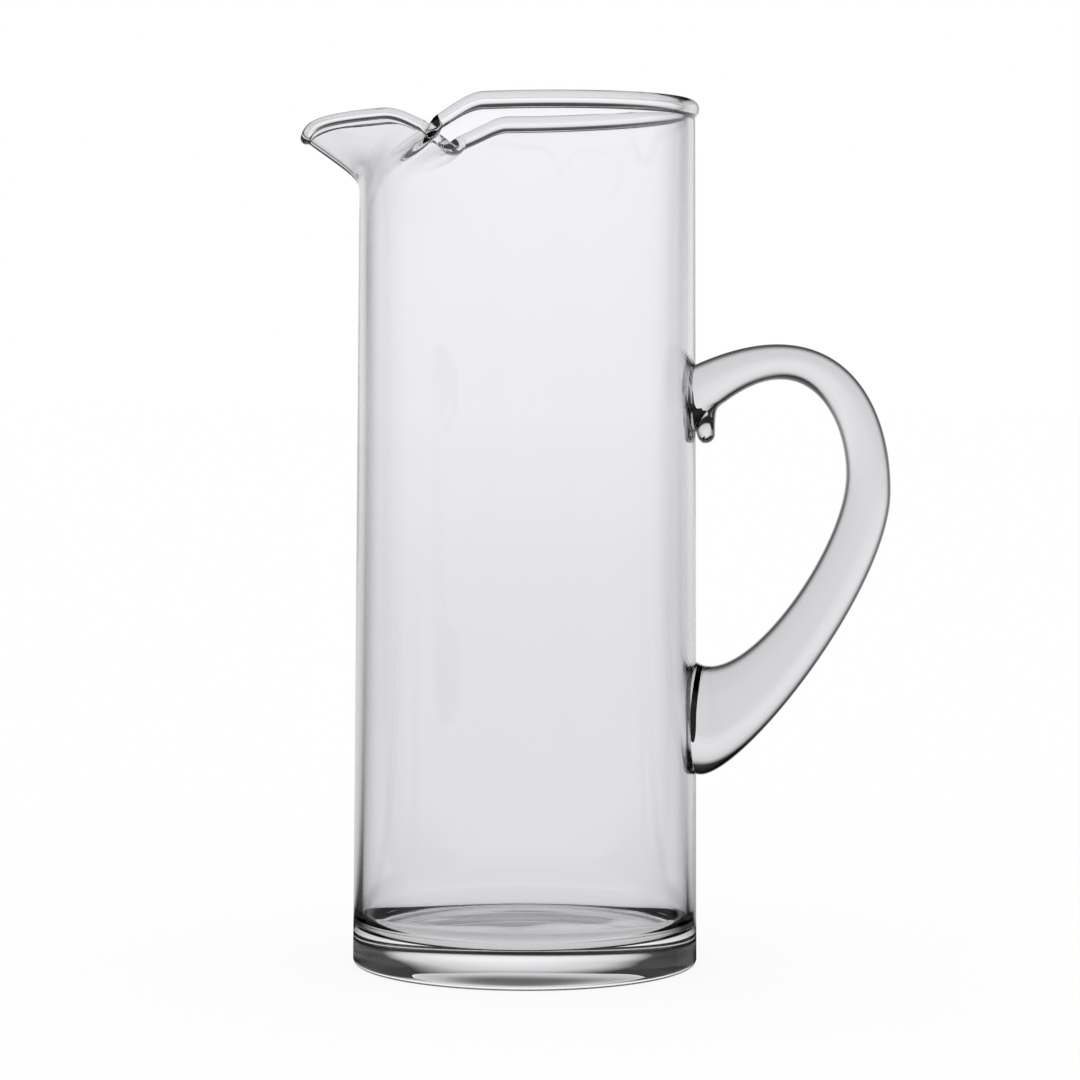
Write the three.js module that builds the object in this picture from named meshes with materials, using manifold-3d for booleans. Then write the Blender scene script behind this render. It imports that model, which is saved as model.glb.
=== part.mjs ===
// A water pitcher in clear glass. The vessel is one blown cylinder with a heavy base, a rolled rim and a
// spout pulled from the rim and pinched in at its throat. The handle is a second gather of glass, drawn
// from a thick pad low on the wall into a loop and pressed on again higher up, with a drip at its end.
// Millimetres, +Z up. The origin is the centre of the base's underside, the spout points to -X.

import * as THREE from 'three';
import { mergeVertices } from 'three/addons/utils/BufferGeometryUtils.js';
import Module from 'manifold-3d';

const wasm = await Module();
wasm.setup();

const DEGREE = Math.PI / 180;

// Vessel
const RIM_HEIGHT = 259.3;
const BASE_RADIUS = 52.1;
const RIM_RADIUS = 50.3; // of the wall, under the bead
const WALL = 2.7;
const BASE_THICKNESS = 10.8;
const FOOT_ROUNDING = 1.6;
const FLOOR_FILLET = 6;
const BEAD = 5.2; // diameter of the rim's rolled edge, which is proud of the wall inside and outside
const BEAD_FILLET = 1.4; // between the wall and the bead
const RIM_TILT = 0.9; // the rim stands this much higher at the handle's side, and lower at the spout's

// Spout
const FLARE_DEPTH = 36; // below the rim, where the wall starts to lean
const FLARE_CORNER = 0.55; // share of the flare below its bend
const FLARE_ROUND = 0.11; // roundness of the bend, as a share of the flare
const SPOUT_PULL = 16.4; // outwards at the tip
const SPOUT_DROP = 5.2; // of the tip below the rim
const SPOUT_DROP_SPREAD = 5.4 * DEGREE;
const SPOUT_NARROWING = 0.65; // how much narrower the spout is at the foot of the flare than at the rim
const LIP_ANGLE = 29.6 * DEGREE; // between each lip and the spout's middle plane
const LIP_THINNESS = 0.65; // of the pulled glass, as a share of the wall and the bead
const THROAT_PINCH = 8.2; // inwards, on both sides
const THROAT_AT = 45 * DEGREE; // round the rim, from the spout
const THROAT_END = 62 * DEGREE; // where the rim is round again
const NOTCH_DROP = 6.6; // of the rim beside the throat
const NOTCH_START = 29 * DEGREE;
const NOTCH_AT = 55.5 * DEGREE;
const NOTCH_END = 79 * DEGREE;

// Handle, as heights above the base and distances out from the wall
const TOP_JOINT_HEIGHT = 170;
const TOP_JOINT_DEPTH = 20.8;
const LOW_JOINT_HEIGHT = 77.5;
const LOW_JOINT_DEPTH = 32;
const HANDLE_REACH = 58.4;
const HANDLE_THICKNESS = 13.4; // in its own plane, at the reach
const REACH_HEIGHT = 145.9;
const REACH_LEAN = 5; // the inner edge reaches furthest this much higher than the outer edge
const HANDLE_WIDTHS = [19, 15.5, 16, 18.5, 25]; // across its plane, from the top joint to the low one
const HANDLE_SQUARENESS = 2.8; // 2 is an oval section, more is flatter on its sides
const DRIP_HANG = 2; // below the top joint
const DRIP_LENGTH = 12;
const DRIP_WIDTH = 11;
const DRIP_THICKNESS = 5.8;

// How each edge of the handle is drawn: crown and heel are pull points, counted out from the wall and up
// from the top and low joints, and the rest is how far the edge runs upright above and below its reach
const OUTER_EDGE = { crown: [41.1, 31.1], above: 29, below: 33.5, heel: [0.9, -36.7] };
const INNER_EDGE = { crown: [28.8, 24.5], above: 20.4, below: 23.8, heel: [10.1, 0.5] };

const SEAL_GAP = 0.3; // between handle and wall, which the real glass closes
const SINK = 2; // how far the handle's ends are drawn into the wall before they are trimmed to it

// Fineness of the facets
const AROUND = 96;
const SPOUT_FINENESS = 0.6; // gathers the facets towards the spout
const FLARE_ROWS = 10;
const BEAD_STEPS = 11;
const FILLET_STEPS = 3;
const HANDLE_STEPS = 36;
const HANDLE_SIDES = 18;
const DRIP_SIDES = 16;
const TRIM_SIDES = 192;

const beadRadius = BEAD / 2;
const beadHeight = RIM_HEIGHT - beadRadius;
const flareHeight = RIM_HEIGHT - FLARE_DEPTH;

function wallRadius(height) {
  return THREE.MathUtils.lerp(BASE_RADIUS, RIM_RADIUS, height / RIM_HEIGHT);
}

function middleRadius(height) {
  return wallRadius(height) - WALL / 2;
}

// The bead is a circle on the middle of the wall. Fillets lead from both faces of the wall into it.
const beadAxis = RIM_RADIUS - WALL / 2;
const filletOffset = WALL / 2 + BEAD_FILLET;
const neckHeight = beadHeight - Math.sqrt((beadRadius + BEAD_FILLET) ** 2 - filletOffset ** 2);
const filletAngle = Math.atan2(beadHeight - neckHeight, -filletOffset);

function arcPoints(x, y, radius, start, end, steps) {
  const clockwise = end < start;
  const arc = new THREE.EllipseCurve(x, y, radius, radius, start, end, clockwise);
  return arc.getPoints(steps);
}

// Half of the vessel's section before the spout is shaped, from the base's centre round to the floor's
function vesselProfile() {
  const footRadius = BASE_RADIUS - FOOT_ROUNDING;
  const points = [new THREE.Vector2(0, 0)];
  points.push(...arcPoints(footRadius, FOOT_ROUNDING, FOOT_ROUNDING, -Math.PI / 2, 0, FILLET_STEPS));
  for (let row = 0; row < FLARE_ROWS; row++) {
    const height = THREE.MathUtils.lerp(flareHeight, neckHeight, row / FLARE_ROWS);
    points.push(new THREE.Vector2(wallRadius(height), height));
  }
  const outerFillet = beadAxis + filletOffset;
  const innerFillet = beadAxis - filletOffset;
  const turn = Math.PI - filletAngle;
  points.push(...arcPoints(outerFillet, neckHeight, BEAD_FILLET, Math.PI, filletAngle, FILLET_STEPS));
  const bead = arcPoints(beadAxis, beadHeight, beadRadius, -turn, Math.PI + turn, BEAD_STEPS);
  points.push(...bead.slice(1, -1));
  points.push(...arcPoints(innerFillet, neckHeight, BEAD_FILLET, turn, 0, FILLET_STEPS));
  for (let row = FLARE_ROWS - 1; row >= 0; row--) {
    const height = THREE.MathUtils.lerp(flareHeight, neckHeight, row / FLARE_ROWS);
    points.push(new THREE.Vector2(wallRadius(height) - WALL, height));
  }
  const filletHeight = BASE_THICKNESS + FLOOR_FILLET;
  const floorRadius = wallRadius(filletHeight) - WALL - FLOOR_FILLET;
  points.push(...arcPoints(floorRadius, filletHeight, FLOOR_FILLET, 0, -Math.PI / 2, FILLET_STEPS + 1));
  points.push(new THREE.Vector2(0, BASE_THICKNESS));
  return points;
}

function bell(angle, centre, spread) {
  return 1 / (1 + ((angle - centre) / spread) ** 2);
}

// Seen from above, each lip runs straight from the throat towards the tip, where a small round joins them.
const throatRadius = middleRadius(neckHeight) - THROAT_PINCH;
const tipRadius = middleRadius(neckHeight) + SPOUT_PULL;
const tipRound = Math.asin(throatRadius / tipRadius) - LIP_ANGLE;

function lipShift(angle) {
  const pinched = Math.min(angle, THROAT_END);
  const lip = throatRadius / Math.sin(LIP_ANGLE + Math.hypot(pinched, tipRound));
  const round = THREE.MathUtils.smoothstep(pinched, THROAT_AT, THROAT_END);
  return (1 - round) * (lip - middleRadius(neckHeight));
}

function lipDrop(angle) {
  const atTip = SPOUT_DROP * bell(angle, 0, SPOUT_DROP_SPREAD);
  const falling = THREE.MathUtils.smoothstep(angle, NOTCH_START, NOTCH_AT);
  const rising = THREE.MathUtils.smoothstep(angle, NOTCH_AT, NOTCH_END);
  return atTip + NOTCH_DROP * falling * (1 - rising);
}

// The flare follows a hyperbola: almost upright below its bend, and then straight on.
function flare(share) {
  const branch = (place) => place - FLARE_CORNER + Math.hypot(place - FLARE_CORNER, FLARE_ROUND);
  return (branch(share) - branch(0)) / (branch(1) - branch(0));
}

function flareShare(height) {
  return Math.max(0, (height - flareHeight) / (neckHeight - flareHeight));
}

// Middle of the wall at an azimuth from the spout and at a height that the unshaped wall had
function wallMiddle(azimuth, height) {
  const share = flareShare(height);
  const angle = Math.abs(azimuth);
  const widened = angle / (1 - SPOUT_NARROWING * (1 - share));
  const radius = middleRadius(height) + lipShift(widened) * flare(share);
  const fall = (lipDrop(angle) + RIM_TILT * Math.cos(angle)) * share;
  return new THREE.Vector3(-radius * Math.cos(azimuth), -radius * Math.sin(azimuth), height - fall);
}

// The glass of the spout is drawn thinner towards its lip.
function thinness(azimuth, height) {
  const full = THREE.MathUtils.smoothstep(Math.abs(azimuth), 0.75 * THROAT_AT, NOTCH_END);
  return 1 - (1 - LIP_THINNESS) * (1 - full) * flareShare(height);
}

// Carries a point of the unshaped vessel to its place on the finished one
function shapedPoint(azimuth, radius, height) {
  if (height < flareHeight) {
    return new THREE.Vector3(-radius * Math.cos(azimuth), -radius * Math.sin(azimuth), height);
  }
  const step = 1e-3;
  const onWall = Math.min(height, neckHeight);
  const middle = wallMiddle(azimuth, onWall);
  const along = wallMiddle(azimuth + step, onWall).sub(wallMiddle(azimuth - step, onWall)).normalize();
  const up = wallMiddle(azimuth, onWall + step).sub(wallMiddle(azimuth, onWall - step)).normalize();
  const outwards = new THREE.Vector3().crossVectors(along, up).normalize();
  const thin = thinness(azimuth, onWall);
  return middle
    .addScaledVector(outwards, thin * (radius - middleRadius(onWall)))
    .addScaledVector(up, thin * (height - onWall));
}

function vesselGeometry() {
  const geometry = new THREE.LatheGeometry(vesselProfile(), AROUND);
  const position = geometry.getAttribute('position');
  const point = new THREE.Vector3();
  for (let i = 0; i < position.count; i++) {
    point.fromBufferAttribute(position, i);
    const even = Math.atan2(-point.x, -point.z);
    const azimuth = even - SPOUT_FINENESS * Math.sin(even);
    const shaped = shapedPoint(azimuth, Math.hypot(point.x, point.z), point.y);
    position.setXYZ(i, shaped.x, shaped.y, shaped.z);
  }
  return geometry;
}

// One edge of the handle in its plane: two cubic arcs that meet upright where the edge reaches furthest.
// side is 1 for the outer edge, which meets the wall above and below the inner one, and -1 for the inner.
function handleEdge(shape, side, reach) {
  const wallTop = wallRadius(TOP_JOINT_HEIGHT);
  const wallLow = wallRadius(LOW_JOINT_HEIGHT);
  const point = (x, z) => new THREE.Vector3(x, 0, z);
  const top = point(wallTop - SINK, TOP_JOINT_HEIGHT + side * TOP_JOINT_DEPTH / 2);
  const crown = point(wallTop + shape.crown[0], TOP_JOINT_HEIGHT + shape.crown[1]);
  const far = point(wallRadius(REACH_HEIGHT) + reach, REACH_HEIGHT - side * REACH_LEAN / 2);
  const farAbove = point(far.x, far.z + shape.above);
  const farBelow = point(far.x, far.z - shape.below);
  const heel = point(wallLow + shape.heel[0], LOW_JOINT_HEIGHT + shape.heel[1]);
  const low = point(wallLow - SINK, LOW_JOINT_HEIGHT - side * LOW_JOINT_DEPTH / 2);
  const upper = new THREE.CubicBezierCurve3(top, crown, farAbove, far);
  const lower = new THREE.CubicBezierCurve3(far, farBelow, heel, low);
  return (share) => (share < 0.5 ? upper.getPoint(2 * share) : lower.getPoint(2 * share - 1));
}

function rounded(value) {
  return Math.sign(value) * Math.abs(value) ** (2 / HANDLE_SQUARENESS);
}

// A unit cylinder, bent so that its sides follow the two edges
function strapGeometry() {
  const outer = handleEdge(OUTER_EDGE, 1, HANDLE_REACH);
  const inner = handleEdge(INNER_EDGE, -1, HANDLE_REACH - HANDLE_THICKNESS);
  const steps = HANDLE_WIDTHS.length - 1;
  const widths = new THREE.SplineCurve(HANDLE_WIDTHS.map((width, i) => new THREE.Vector2(i / steps, width)));
  const geometry = new THREE.CylinderGeometry(1, 1, 1, HANDLE_SIDES, HANDLE_STEPS);
  const position = geometry.getAttribute('position');
  const point = new THREE.Vector3();
  for (let i = 0; i < position.count; i++) {
    point.fromBufferAttribute(position, i);
    const share = 0.5 - point.y;
    const middle = inner(share).add(outer(share)).multiplyScalar(0.5);
    const half = outer(share).sub(middle);
    middle.addScaledVector(half, rounded(point.z));
    middle.y += rounded(point.x) * widths.getPoint(share).y / 2;
    position.setXYZ(i, middle.x, middle.y, middle.z);
  }
  return geometry;
}

function dripGeometry() {
  const radius = DRIP_THICKNESS / 2;
  const straight = DRIP_LENGTH - DRIP_THICKNESS;
  const geometry = new THREE.CapsuleGeometry(radius, straight, DRIP_SIDES / 4, DRIP_SIDES);
  geometry.rotateX(Math.PI / 2);
  geometry.scale(1, DRIP_WIDTH / DRIP_THICKNESS, 1);
  const end = TOP_JOINT_HEIGHT - TOP_JOINT_DEPTH / 2 - DRIP_HANG;
  geometry.translate(wallRadius(end) + radius, 0, end + DRIP_LENGTH / 2);
  return geometry;
}

// The wall's outside with the gap added, to trim the handle's ends
function trimGeometry() {
  const geometry = new THREE.CylinderGeometry(
    RIM_RADIUS + SEAL_GAP, BASE_RADIUS + SEAL_GAP, RIM_HEIGHT, TRIM_SIDES,
  );
  geometry.rotateX(Math.PI / 2);
  geometry.translate(0, 0, RIM_HEIGHT / 2);
  return geometry;
}

function solidOf(geometry) {
  geometry.deleteAttribute('normal');
  geometry.deleteAttribute('uv');
  const merged = mergeVertices(geometry);
  return new wasm.Manifold(new wasm.Mesh({
    numProp: 3,
    vertProperties: merged.getAttribute('position').array,
    triVerts: new Uint32Array(merged.getIndex().array),
  }));
}

function geometryOf(solid) {
  const mesh = solid.getMesh();
  const geometry = new THREE.BufferGeometry();
  geometry.setAttribute('position', new THREE.BufferAttribute(mesh.vertProperties, mesh.numProp));
  geometry.setIndex(new THREE.BufferAttribute(mesh.triVerts, 1));
  geometry.computeVertexNormals();
  return geometry;
}

function handleGeometry() {
  const handle = solidOf(strapGeometry()).add(solidOf(dripGeometry()));
  return geometryOf(handle.subtract(solidOf(trimGeometry())));
}

function piece(name, geometry, colour) {
  const material = new THREE.MeshStandardMaterial({
    color: colour, roughness: 0.02, metalness: 0, transparent: true, opacity: 0.3,
  });
  const mesh = new THREE.Mesh(geometry, material);
  mesh.name = name;
  return mesh;
}

const pitcher = new THREE.Group();
pitcher.add(piece('vessel', vesselGeometry(), 0xe6e6ea));
pitcher.add(piece('handle', handleGeometry(), 0xdddde1));

export default pitcher;
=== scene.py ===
"""A water pitcher in clear glass: a blown vessel with a pulled spout, and a handle sealed to its wall.

The two solids of the frame are replaced by fine meshes of the same shapes. Where the handle is sealed to
the vessel the glass runs on from one into the other, so that no skin is left between the two meshes.
Sizes are in millimetres until a mesh is made, and the frame's metres from there on.
"""

import math

import bmesh
import bpy
import numpy as np
from mathutils import Matrix


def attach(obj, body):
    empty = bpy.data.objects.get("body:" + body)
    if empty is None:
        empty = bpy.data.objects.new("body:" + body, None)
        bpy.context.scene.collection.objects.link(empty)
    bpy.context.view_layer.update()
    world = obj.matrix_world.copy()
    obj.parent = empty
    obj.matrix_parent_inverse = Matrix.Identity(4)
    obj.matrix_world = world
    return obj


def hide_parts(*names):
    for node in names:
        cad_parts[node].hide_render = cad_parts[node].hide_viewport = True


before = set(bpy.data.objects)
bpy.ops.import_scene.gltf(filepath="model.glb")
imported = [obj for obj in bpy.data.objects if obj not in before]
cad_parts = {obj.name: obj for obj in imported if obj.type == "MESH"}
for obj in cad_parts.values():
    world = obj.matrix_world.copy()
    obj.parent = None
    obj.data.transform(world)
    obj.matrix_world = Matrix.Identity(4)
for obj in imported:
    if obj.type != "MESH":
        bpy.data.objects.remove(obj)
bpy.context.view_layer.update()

MM = 0.001

# Vessel
RIM_HEIGHT = 259.3
BASE_RADIUS = 52.1
RIM_RADIUS = 50.3
WALL = 2.7
BASE_THICKNESS = 10.8
FOOT_ROUNDING = 1.6
FLOOR_FILLET = 6.0
BEAD = 5.2
BEAD_FILLET = 1.4
RIM_TILT = 0.9
PUNT_DEPTH = 1.0
PUNT_RADIUS = 46.0
FLOOR_DOME = 0.5

# Spout
FLARE_DEPTH = 36.0
FLARE_CORNER = 0.55
FLARE_ROUND = 0.11
SPOUT_PULL = 16.4
SPOUT_DROP = 5.2
SPOUT_DROP_SPREAD = math.radians(5.4)
SPOUT_NARROWING = 0.65
LIP_ANGLE = math.radians(29.6)
LIP_THINNESS = 0.65
LIP_THIN_SHARE = 0.75
THROAT_PINCH = 8.2
THROAT_AT = math.radians(45)
THROAT_END = math.radians(62)
NOTCH_DROP = 6.6
NOTCH_START = math.radians(29)
NOTCH_AT = math.radians(55.5)
NOTCH_END = math.radians(79)

# Handle
TOP_JOINT_HEIGHT = 170.0
TOP_JOINT_DEPTH = 20.8
LOW_JOINT_HEIGHT = 77.5
LOW_JOINT_DEPTH = 32.0
HANDLE_REACH = 58.4
HANDLE_THICKNESS = 13.4
REACH_HEIGHT = 145.9
REACH_LEAN = 5.0
HANDLE_WIDTHS = (19.0, 15.5, 16.0, 18.5, 25.0)
HANDLE_SQUARENESS = 2.8
DRIP_HANG = 2.0
DRIP_LENGTH = 12.0
DRIP_WIDTH = 11.0
DRIP_THICKNESS = 5.8
DRIP_FILLET = 4.5
OUTER_EDGE = {"crown": (41.1, 31.1), "above": 29.0, "below": 33.5, "heel": (0.9, -36.7)}
INNER_EDGE = {"crown": (28.8, 24.5), "above": 20.4, "below": 23.8, "heel": (10.1, 0.5)}
SINK = 2.0

# Fineness of the meshes
AROUND = 400
SPOUT_FINENESS = 0.6
WALL_ROWS = 12
FLARE_ROWS = 48
BEAD_STEPS = 40
FILLET_STEPS = 10
FLOOR_ROWS = 20
NARROW_ROW = 0.3
HANDLE_STEPS = 400
HANDLE_CROWDING = 1.5
HANDLE_SIDES = 96
DRIP_SIDES = 64
DRIP_SMOOTHING = 50
SMOOTHING_STEP = 0.5
SHARP_ANGLE = math.radians(35)

# Glass: how dark it turns from where it is seen face on to where it is seen edge on, which is painted shade
# standing in for the darker studio seen through its edges, its colour, the faint waves in its skin, in waves
# per metre and metres of depth, and how much light falls through it
IOR = 1.5
VESSEL_EDGE_SHADE = ((0, 1), (0.6, 0.98), (0.8, 0.9), (0.92, 0.75), (1, 0.3))
HANDLE_EDGE_SHADE = ((0, 1), (0.26, 0.97), (0.4, 0.66), (0.49, 0.24), (0.62, 0.03))
VESSEL_TINT = (0.98, 0.975, 0.995)
HANDLE_TINT = (0.8, 0.795, 0.82)
WAVES = (26, 26, 5)
WAVE_DEPTH = 0.0003
LIGHT_THROUGH = 0.9

# Studio, as shares of white: what is seen through the glass, of the room by the sine of its elevation and of
# the floor by the distance from the pitcher as a share of its reach, the floor with painted shade that is
# darkest close to the base
DOME = ((0, 0.95), (0.07, 1), (0.2, 0.94), (0.31, 0.8), (0.38, 0.35), (0.42, 0.04), (1, 0.03))
FLOOR_HALF = 20
FLOOR_REACH = 16.0
FLOOR_SHADE = (
    (0, 0.68), (0.0028, 0.68), (0.0034, 0.78), (0.0075, 0.8), (0.025, 0.84), (0.25, 0.91), (1, 0.95),
)
FLOOR_GLOW = 0.85

# How much of that is left where the glass mirrors it, from the front of the room to its back: at eye level,
# above it and on the floor nearby, where it is painted shade, and in the pitcher's own shadow close behind
# the base, painted on the floor as a dark band
MIRRORED_FROM = (0, 1, -0.9)
MIRRORED = (
    (0, 0.5), (0.5, 0.6), (0.62, 0.6), (0.72, 0.4), (0.8, 0.2), (0.84, 0.1), (0.89, 0.65), (0.96, 0.92),
)
MIRRORED_HIGH = ((0, 0.3), (0.35, 0.2), (0.5, 0.02), (0.84, 0.02), (0.89, 0.65), (0.96, 0.92))
MIRRORED_NEAR = ((0, 0.8), (0.3, 0.7), (0.45, 0.05), (0.84, 0.02), (0.89, 0.65), (0.96, 0.92))
HIGH = ((0.09, 0), (0.12, 1))
NEAR = ((0.007, 1), (0.02, 0))
SHADOW = ((0.38, 1), (0.43, 0.05), (0.62, 0.06), (0.72, 0.7), (0.85, 1))
SHADOW_REACH = 0.1

# Camera, as fitted to the outline of the pitcher in a picture of 1080 by 1080 pixels
PICTURE = 1080
FOCUS_IN_PIXELS = 3420.77
AXIS_PIXEL = 526.22
SENSOR = 36
CAMERA_DISTANCE = 1.0323
CAMERA_HEIGHT = 0.1768
CAMERA_AZIMUTH = math.radians(3.7526)
CAMERA_PITCH = math.radians(2.6985)
CAMERA_ROLL = math.radians(0.2103)

bead_radius = BEAD / 2
bead_height = RIM_HEIGHT - bead_radius
flare_height = RIM_HEIGHT - FLARE_DEPTH


def wall_radius(height):
    return BASE_RADIUS + (RIM_RADIUS - BASE_RADIUS) * height / RIM_HEIGHT


def middle_radius(height):
    return wall_radius(height) - WALL / 2


bead_axis = RIM_RADIUS - WALL / 2
fillet_offset = WALL / 2 + BEAD_FILLET
neck_height = bead_height - math.sqrt((bead_radius + BEAD_FILLET) ** 2 - fillet_offset**2)
bead_turn = math.atan2(bead_height - neck_height, fillet_offset)


def arc(x, y, radius, start, end, steps):
    angles = np.linspace(start, end, steps + 1)
    return [(x + radius * math.cos(a), y + radius * math.sin(a)) for a in angles]


def underside(radius):
    """The base is a little hollow underneath, so that it stands on a ring near its edge."""
    return PUNT_DEPTH * max(0, 1 - (radius / PUNT_RADIUS) ** 2) ** 2


def vessel_profile():
    """Half of the vessel's section before the spout is shaped, from under the base round to the floor."""
    foot_radius = BASE_RADIUS - FOOT_ROUNDING
    radii = list(np.linspace(0, foot_radius, FLOOR_ROWS + 1)[:-1]) + [foot_radius - NARROW_ROW]
    points = [(r, underside(r)) for r in radii]
    points += arc(foot_radius, FOOT_ROUNDING, FOOT_ROUNDING, -math.pi / 2, 0, FILLET_STEPS)
    heights = [FOOT_ROUNDING + NARROW_ROW]
    heights += list(np.linspace(FOOT_ROUNDING, flare_height, WALL_ROWS + 1)[1:-1])
    heights += list(np.linspace(flare_height, neck_height, FLARE_ROWS + 1)[:-1])
    points += [(wall_radius(height), height) for height in heights]
    turn = bead_turn
    outside = bead_axis + fillet_offset
    inside = bead_axis - fillet_offset
    points += arc(outside, neck_height, BEAD_FILLET, math.pi, math.pi - turn, FILLET_STEPS)
    points += arc(bead_axis, bead_height, bead_radius, -turn, math.pi + turn, BEAD_STEPS)[1:-1]
    points += arc(inside, neck_height, BEAD_FILLET, turn, 0, FILLET_STEPS)
    fillet_height = BASE_THICKNESS + FLOOR_FILLET
    heights = list(np.linspace(neck_height, flare_height, FLARE_ROWS + 1)[1:])
    heights += list(np.linspace(flare_height, fillet_height, WALL_ROWS + 1)[1:-1])
    heights += [fillet_height + NARROW_ROW]
    points += [(wall_radius(height) - WALL, height) for height in heights]
    floor_radius = wall_radius(fillet_height) - WALL - FLOOR_FILLET
    points += arc(floor_radius, fillet_height, FLOOR_FILLET, 0, -math.pi / 2, FILLET_STEPS)
    for r in [floor_radius - NARROW_ROW] + list(np.linspace(floor_radius, 0, FLOOR_ROWS + 1)[1:]):
        points.append((r, BASE_THICKNESS + FLOOR_DOME * (1 - (r / floor_radius) ** 2) ** 2))
    return np.array(points)


def bell(angle, centre, spread):
    return 1 / (1 + ((angle - centre) / spread) ** 2)


def smoothstep(value, low, high):
    share = np.clip((value - low) / (high - low), 0, 1)
    return share * share * (3 - 2 * share)


throat_radius = middle_radius(neck_height) - THROAT_PINCH
tip_radius = middle_radius(neck_height) + SPOUT_PULL
tip_round = math.asin(throat_radius / tip_radius) - LIP_ANGLE


def lip_shift(angle):
    pinched = np.minimum(angle, THROAT_END)
    lip = throat_radius / np.sin(LIP_ANGLE + np.hypot(pinched, tip_round))
    return (1 - smoothstep(pinched, THROAT_AT, THROAT_END)) * (lip - middle_radius(neck_height))


def lip_drop(angle):
    at_tip = SPOUT_DROP * bell(angle, 0, SPOUT_DROP_SPREAD)
    rising = smoothstep(angle, NOTCH_AT, NOTCH_END)
    return at_tip + NOTCH_DROP * smoothstep(angle, NOTCH_START, NOTCH_AT) * (1 - rising)


def flare(share):
    def branch(place):
        return place - FLARE_CORNER + np.hypot(place - FLARE_CORNER, FLARE_ROUND)

    return (branch(share) - branch(0)) / (branch(1) - branch(0))


def flare_share(height):
    return np.maximum(0, (height - flare_height) / (neck_height - flare_height))


def wall_middle(azimuth, height):
    share = flare_share(height)
    angle = np.abs(azimuth)
    widened = angle / (1 - SPOUT_NARROWING * (1 - share))
    radius = middle_radius(height) + lip_shift(widened) * flare(share)
    fall = (lip_drop(angle) + RIM_TILT * np.cos(angle)) * share
    return np.stack([-radius * np.cos(azimuth), -radius * np.sin(azimuth), height - fall], -1)


def thinness(azimuth, height):
    full = smoothstep(np.abs(azimuth), LIP_THIN_SHARE * THROAT_AT, NOTCH_END)
    return 1 - (1 - LIP_THINNESS) * (1 - full) * flare_share(height)


def unit(vectors):
    return vectors / np.linalg.norm(vectors, axis=-1, keepdims=True)


def shaped_points(azimuth, radius, height):
    """Places of the unshaped vessel's points on the finished one."""
    azimuth, radius, height = np.broadcast_arrays(azimuth, radius, height)
    step = 1e-3
    on_wall = np.minimum(height, neck_height)
    along = unit(wall_middle(azimuth + step, on_wall) - wall_middle(azimuth - step, on_wall))
    up = unit(wall_middle(azimuth, on_wall + step) - wall_middle(azimuth, on_wall - step))
    outwards = unit(np.cross(along, up))
    thin = thinness(azimuth, on_wall)
    shaped = wall_middle(azimuth, on_wall)
    shaped = shaped + outwards * (thin * (radius - middle_radius(on_wall)))[..., None]
    shaped = shaped + up * (thin * (height - on_wall))[..., None]
    plain = np.stack([-radius * np.cos(azimuth), -radius * np.sin(azimuth), height], -1)
    return np.where((height < flare_height)[..., None], plain, shaped)


def new_object(name, vertices, faces):
    mesh = bpy.data.meshes.new(name)
    mesh.from_pydata([tuple(v) for v in vertices], [], faces)
    mesh.validate()
    piece = bpy.data.objects.new(name, mesh)
    bpy.context.scene.collection.objects.link(piece)
    return piece


def skin(rows, around):
    """Faces of a tube of rows of points whose first and last rows are single points."""
    last = 1 + (rows - 2) * around
    faces = []
    for k in range(around):
        following = (k + 1) % around
        faces.append((0, 1 + following, 1 + k))
        for row in range(rows - 3):
            here = 1 + row * around
            above = here + around
            faces.append((here + k, here + following, above + following, above + k))
        top = 1 + (rows - 3) * around
        faces.append((top + k, top + following, last))
    return faces


def vessel_object():
    profile = vessel_profile()
    even = np.arange(AROUND) * 2 * math.pi / AROUND - math.pi
    azimuth = even - SPOUT_FINENESS * np.sin(even)
    ring = shaped_points(azimuth[None, :], profile[1:-1, 0, None], profile[1:-1, 1, None])
    first = [[0, 0, profile[0, 1]]]
    last = [[0, 0, profile[-1, 1]]]
    vertices = np.concatenate([first, ring.reshape(-1, 3), last]) * MM
    return new_object("vessel_glass", vertices, skin(len(profile), AROUND))


def bezier(points, share):
    share = share[:, None]
    rest = 1 - share
    a, b, c, d = (np.array(p, float) for p in points)
    return rest**3 * a + 3 * rest**2 * share * b + 3 * rest * share**2 * c + share**3 * d


def handle_edge(shape, side, reach, share):
    """One edge of the handle in its plane, as x and z, whose ends are sunk into the wall.

    side is 1 for the outer edge and -1 for the inner.
    """
    wall_top = wall_radius(TOP_JOINT_HEIGHT)
    wall_low = wall_radius(LOW_JOINT_HEIGHT)
    top = (wall_top - SINK, TOP_JOINT_HEIGHT + side * TOP_JOINT_DEPTH / 2)
    crown = (wall_top + shape["crown"][0], TOP_JOINT_HEIGHT + shape["crown"][1])
    far = (wall_radius(REACH_HEIGHT) + reach, REACH_HEIGHT - side * REACH_LEAN / 2)
    above = (far[0], far[1] + shape["above"])
    below = (far[0], far[1] - shape["below"])
    heel = (wall_low + shape["heel"][0], LOW_JOINT_HEIGHT + shape["heel"][1])
    low = (wall_low - SINK, LOW_JOINT_HEIGHT - side * LOW_JOINT_DEPTH / 2)
    upper = bezier((top, crown, above, far), 2 * share)
    lower = bezier((far, below, heel, low), 2 * share - 1)
    return np.where((share < 0.5)[:, None], upper, lower)


def spline(values, share):
    """A smooth curve through evenly spaced values."""
    values = np.array(values)
    padded = np.concatenate([[2 * values[0] - values[1]], values, [2 * values[-1] - values[-2]]])
    place = share * (len(values) - 1)
    start = np.minimum(place.astype(int), len(values) - 2)
    t = place - start
    a, b, c, d = (padded[start + k] for k in range(4))
    return 0.5 * (2 * b + (c - a) * t + (2 * a - 5 * b + 4 * c - d) * t**2 + (3 * b - a - 3 * c + d) * t**3)


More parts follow.
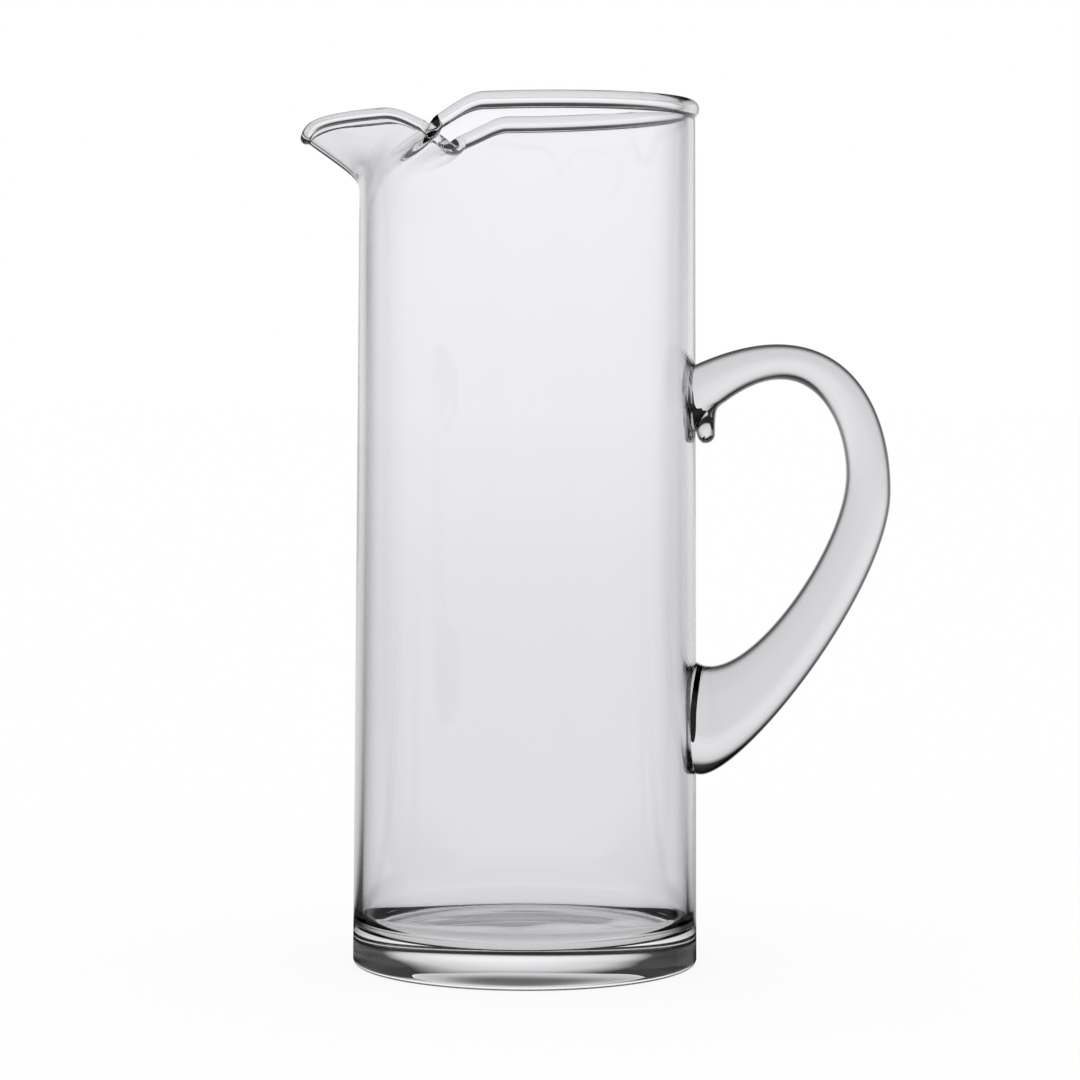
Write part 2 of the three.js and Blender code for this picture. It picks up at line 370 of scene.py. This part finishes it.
def drip_object():
    """The last of the gather, which hangs below the top joint as a flat drop."""
    radius = DRIP_THICKNESS / 2
    end = TOP_JOINT_HEIGHT - TOP_JOINT_DEPTH / 2 - DRIP_HANG
    turn = np.arange(DRIP_SIDES) * 2 * math.pi / DRIP_SIDES
    lift = np.linspace(-math.pi / 2, math.pi / 2, DRIP_SIDES // 2 + 1)[1:-1]
    height = end + radius + radius * np.sin(lift) + (DRIP_LENGTH - DRIP_THICKNESS) * (lift > 0)
    ring = np.empty((len(lift), DRIP_SIDES, 3))
    ring[..., 0] = wall_radius(end) + radius + radius * np.cos(lift)[:, None] * np.cos(turn)
    ring[..., 1] = DRIP_WIDTH / 2 * np.cos(lift)[:, None] * np.sin(turn)
    ring[..., 2] = height[:, None]
    first = [[wall_radius(end) + radius, 0, end]]
    last = [[wall_radius(end) + radius, 0, end + DRIP_LENGTH]]
    vertices = np.concatenate([first, ring.reshape(-1, 3), last]) * MM
    return new_object("drip", vertices, skin(len(lift) + 2, DRIP_SIDES))


def handle_object():
    share = np.linspace(0, 1, HANDLE_STEPS + 1) ** HANDLE_CROWDING
    outer = handle_edge(OUTER_EDGE, 1, HANDLE_REACH, share)
    inner = handle_edge(INNER_EDGE, -1, HANDLE_REACH - HANDLE_THICKNESS, share)
    middle = (outer + inner) / 2
    half = (outer - inner) / 2
    width = spline(HANDLE_WIDTHS, share) / 2
    turn = np.arange(HANDLE_SIDES) * 2 * math.pi / HANDLE_SIDES
    power = 2 / HANDLE_SQUARENESS
    out = np.sign(np.cos(turn)) * np.abs(np.cos(turn)) ** power
    across = np.sign(np.sin(turn)) * np.abs(np.sin(turn)) ** power
    ring = np.empty((len(share), HANDLE_SIDES, 3))
    ring[..., 0] = middle[:, 0, None] + half[:, 0, None] * out
    ring[..., 1] = width[:, None] * across
    ring[..., 2] = middle[:, 1, None] + half[:, 1, None] * out
    first = [[middle[0, 0], 0, middle[0, 1]]]
    last = [[middle[-1, 0], 0, middle[-1, 1]]]
    vertices = np.concatenate([first, ring.reshape(-1, 3), last]) * MM
    return new_object("handle_glass", vertices, skin(len(share) + 2, HANDLE_SIDES))


def outward(piece):
    made = bmesh.new()
    made.from_mesh(piece.data)
    if made.calc_volume(signed=True) < 0:
        bmesh.ops.reverse_faces(made, faces=made.faces)
    made.to_mesh(piece.data)
    made.free()


def joined(piece, other):
    """The mesh of two pieces as one body, in which the faces keep their own materials."""
    union = piece.modifiers.new("union", "BOOLEAN")
    union.operation = "UNION"
    union.solver = "MANIFOLD"
    union.material_mode = "TRANSFER"
    union.object = other
    mesh = bpy.data.meshes.new_from_object(piece.evaluated_get(bpy.context.evaluated_depsgraph_get()))
    piece.modifiers.clear()
    return mesh


def hang(handle, drip):
    """Joins the drip to the handle and rounds the corner between them."""
    marks = [bpy.data.materials.new("mark") for _ in range(2)]
    for piece, mark in zip((handle, drip), marks):
        piece.data.materials.append(mark)
    handle.data = joined(handle, drip)
    bpy.data.objects.remove(drip)
    made = bmesh.new()
    made.from_mesh(handle.data)
    seam = [edge for edge in made.edges if len({face.material_index for face in edge.link_faces}) > 1]
    corner = np.array([vert.co for edge in seam for vert in edge.verts])
    places = np.array([vert.co for vert in made.verts])
    close = [np.linalg.norm(corner - place, axis=1).min() < DRIP_FILLET * MM for place in places]
    near = [vert for vert, rounded in zip(made.verts, close) if rounded]
    every_way = {"use_axis_x": True, "use_axis_y": True, "use_axis_z": True}
    for _ in range(DRIP_SMOOTHING):
        bmesh.ops.smooth_vert(made, verts=near, factor=SMOOTHING_STEP, **every_way)
    for face in made.faces:
        face.material_index = 0
    made.to_mesh(handle.data)
    made.free()
    handle.data.materials.clear()
    for mark in marks:
        bpy.data.materials.remove(mark)


def seal(vessel, handle):
    """Joins the two into one body of glass and takes it apart again, so that no skin is left between them."""
    body = joined(vessel, handle)
    for piece, keep in ((vessel, 0), (handle, 1)):
        made = bmesh.new()
        made.from_mesh(body)
        spare = [face for face in made.faces if face.material_index != keep]
        bmesh.ops.delete(made, geom=spare, context="FACES")
        for face in made.faces:
            face.material_index = 0
        made.to_mesh(piece.data)
        made.free()


def node(tree, kind, operation=None, **inputs):
    """A new shader node with some of its inputs set, or linked when an output socket is given."""
    made = tree.nodes.new(kind)
    if operation:
        made.operation = operation
    for name, value in inputs.items():
        socket = made.inputs[name.replace("_", " ")]
        if isinstance(value, bpy.types.NodeSocket):
            tree.links.new(value, socket)
        else:
            socket.default_value = value
    return made


def grey(level):
    return (level, level, level, 1)


def ramp(tree, share, stops, tint=(1, 1, 1)):
    made = node(tree, "ShaderNodeValToRGB", Fac=share)
    points = made.color_ramp.elements
    while len(points) < len(stops):
        points.new(0.5)
    for point, (place, level) in zip(points, stops):
        point.position = place
        point.color = [level * part for part in tint] + [1]
    return made.outputs["Color"]


def mixed(tree, share, first, second):
    """A mix of two shaders, as the output socket of the node that mixes them."""
    made = node(tree, "ShaderNodeMixShader", Fac=share)
    tree.links.new(first, made.inputs[1])
    tree.links.new(second, made.inputs[2])
    return made.outputs["Shader"]


def glass(name, colour, edges):
    """Clear glass whose colour is darkened with painted shade where it is seen edge on, and which lets most
    of the studio's light fall through.
    """
    material = bpy.data.materials.new(name)
    material.use_nodes = True
    tree = material.node_tree
    shader = tree.nodes["Principled BSDF"]
    shader.inputs["Roughness"].default_value = 0.0
    shader.inputs["IOR"].default_value = IOR
    shader.inputs["Transmission Weight"].default_value = 1.0
    # Painted shade: the glass's colour darkens towards where it is seen edge on, in place of the darker
    # studio seen through its edges
    edge = node(tree, "ShaderNodeLayerWeight", Blend=0.5)
    tint = ramp(tree, edge.outputs["Facing"], edges, colour)
    tree.links.new(tint, shader.inputs["Base Color"])
    place = node(tree, "ShaderNodeTexCoord")
    drawn = node(tree, "ShaderNodeMapping", Vector=place.outputs["Object"], Scale=WAVES)
    waves = node(tree, "ShaderNodeTexNoise", Vector=drawn.outputs["Vector"], Scale=1, Detail=1)
    bump = node(tree, "ShaderNodeBump", Strength=1, Distance=WAVE_DEPTH, Height=waves.outputs["Fac"])
    tree.links.new(bump.outputs["Normal"], shader.inputs["Normal"])
    path = node(tree, "ShaderNodeLightPath")
    through = node(tree, "ShaderNodeBsdfTransparent", Color=grey(LIGHT_THROUGH))
    blend = mixed(tree, path.outputs["Is Shadow Ray"], shader.outputs["BSDF"], through.outputs["BSDF"])
    tree.links.new(blend, tree.nodes["Material Output"].inputs["Surface"])
    return material


def toned(tree, colour, tone):
    """The colour, darker by the tone where it is mirrored in the glass."""
    path = node(tree, "ShaderNodeLightPath")
    mix = node(tree, "ShaderNodeMixRGB", Fac=path.outputs["Glossy Depth"], Color1=colour, Color2=tone)
    mix.blend_type = "MULTIPLY"
    return mix.outputs["Color"]


def mirrored(tree, place, colour, shade, shaded):
    """The colour as the glass passes it on. Where the glass mirrors the room its back is the brightest."""
    direction = node(tree, "ShaderNodeVectorMath", "NORMALIZE", Vector=place)
    back = node(tree, "ShaderNodeVectorMath", "DOT_PRODUCT", Vector=direction.outputs["Vector"])
    back.inputs[1].default_value = MIRRORED_FROM
    share = node(tree, "ShaderNodeMapRange", Value=back.outputs["Value"], From_Min=-1)
    plain = ramp(tree, share.outputs["Result"], MIRRORED)
    dark = ramp(tree, share.outputs["Result"], shaded)
    tone = node(tree, "ShaderNodeMixRGB", Fac=shade, Color1=plain, Color2=dark)
    return toned(tree, colour, tone.outputs["Color"])


def build_room():
    """White to the camera and as light on the floor, and shaded where it is seen in the glass."""
    world = bpy.data.worlds.new("studio")
    bpy.context.scene.world = world
    world.use_nodes = True
    tree = world.node_tree
    direction = node(tree, "ShaderNodeTexCoord").outputs["Generated"]
    split = node(tree, "ShaderNodeSeparateXYZ", Vector=direction)
    dome = ramp(tree, split.outputs["Z"], DOME)
    high = ramp(tree, split.outputs["Z"], HIGH)
    room = mirrored(tree, direction, dome, high, MIRRORED_HIGH)
    path = node(tree, "ShaderNodeLightPath")
    plain = node(tree, "ShaderNodeMath", "MAXIMUM", Value=path.outputs["Is Camera Ray"])
    tree.links.new(path.outputs["Is Diffuse Ray"], plain.inputs[1])
    mix = node(tree, "ShaderNodeMixRGB", Fac=plain.outputs["Value"], Color1=room, Color2=grey(1))
    tree.links.new(mix.outputs["Color"], tree.nodes["Background"].inputs["Color"])


def build_floor():
    """White with a faint shadow to the camera. Where it is seen in the glass it glows with painted shade,
    darkest close to the pitcher and in its painted shadow behind the base.
    """
    corners = [(x * FLOOR_HALF, y * FLOOR_HALF, 0) for x, y in ((-1, -1), (1, -1), (1, 1), (-1, 1))]
    floor = new_object("floor", corners, [(0, 1, 2, 3)])
    material = bpy.data.materials.new("floor")
    material.use_nodes = True
    tree = material.node_tree
    shader = tree.nodes["Principled BSDF"]
    shader.inputs["Base Color"].default_value = grey(1)
    shader.inputs["Roughness"].default_value = 1
    shader.inputs["Specular IOR Level"].default_value = 0
    white = node(tree, "ShaderNodeEmission", Color=grey(1))
    seen = mixed(tree, FLOOR_GLOW, shader.outputs["BSDF"], white.outputs["Emission"])
    place = node(tree, "ShaderNodeNewGeometry").outputs["Position"]
    distance = node(tree, "ShaderNodeVectorMath", "LENGTH", Vector=place)
    reach = node(tree, "ShaderNodeMapRange", Value=distance.outputs["Value"], From_Max=FLOOR_REACH)
    # Painted shade: the floor as the glass shows it is darker close to the pitcher, where its shadow falls
    tone = ramp(tree, reach.outputs["Result"], FLOOR_SHADE)
    near = ramp(tree, reach.outputs["Result"], NEAR)
    tone = mirrored(tree, place, tone, near, MIRRORED_NEAR)
    # Painted shadow: a dark band on the floor close behind the base, seen only where the glass mirrors the
    # floor
    split = node(tree, "ShaderNodeSeparateXYZ", Vector=place)
    behind = node(tree, "ShaderNodeMapRange", Value=split.outputs["Y"], From_Max=SHADOW_REACH)
    tone = toned(tree, tone, ramp(tree, behind.outputs["Result"], SHADOW))
    through = node(tree, "ShaderNodeEmission", Color=tone)
    path = node(tree, "ShaderNodeLightPath")
    blend = mixed(tree, path.outputs["Is Camera Ray"], through.outputs["Emission"], seen)
    tree.links.new(blend, tree.nodes["Material Output"].inputs["Surface"])
    floor.data.materials.append(material)


def aim_camera():
    camera = bpy.data.objects.new("camera", bpy.data.cameras.new("camera"))
    bpy.context.scene.collection.objects.link(camera)
    camera.data.sensor_width = SENSOR
    camera.data.lens = SENSOR * FOCUS_IN_PIXELS / PICTURE
    yaw = math.atan((PICTURE / 2 - AXIS_PIXEL) / FOCUS_IN_PIXELS)
    side = CAMERA_DISTANCE * math.sin(CAMERA_AZIMUTH)
    back = CAMERA_DISTANCE * math.cos(CAMERA_AZIMUTH)
    place = Matrix.Translation((side, -back, CAMERA_HEIGHT))
    turn = Matrix.Rotation(CAMERA_AZIMUTH - yaw, 4, "Z")
    tilt = Matrix.Rotation(math.pi / 2 - CAMERA_PITCH, 4, "X")
    camera.matrix_world = place @ turn @ tilt @ Matrix.Rotation(CAMERA_ROLL, 4, "Z")
    bpy.context.scene.camera = camera


vessel = vessel_object()
handle = handle_object()
drip = drip_object()
for piece in (vessel, handle, drip):
    outward(piece)
hang(handle, drip)
for piece, solid, slot, tint, edges in (
    (vessel, "vessel", "vessel_glass", VESSEL_TINT, VESSEL_EDGE_SHADE),
    (handle, "handle", "handle_glass", HANDLE_TINT, HANDLE_EDGE_SHADE),
):
    piece.data.materials.append(glass(slot, tint, edges))
    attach(piece, "root")
    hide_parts(solid)
seal(vessel, handle)
for piece in (vessel, handle):
    piece.data.shade_smooth()
    piece.data.set_sharp_from_angle(angle=SHARP_ANGLE)

build_room()
build_floor()
aim_camera()
bpy.context.scene.view_settings.view_transform = "Standard"
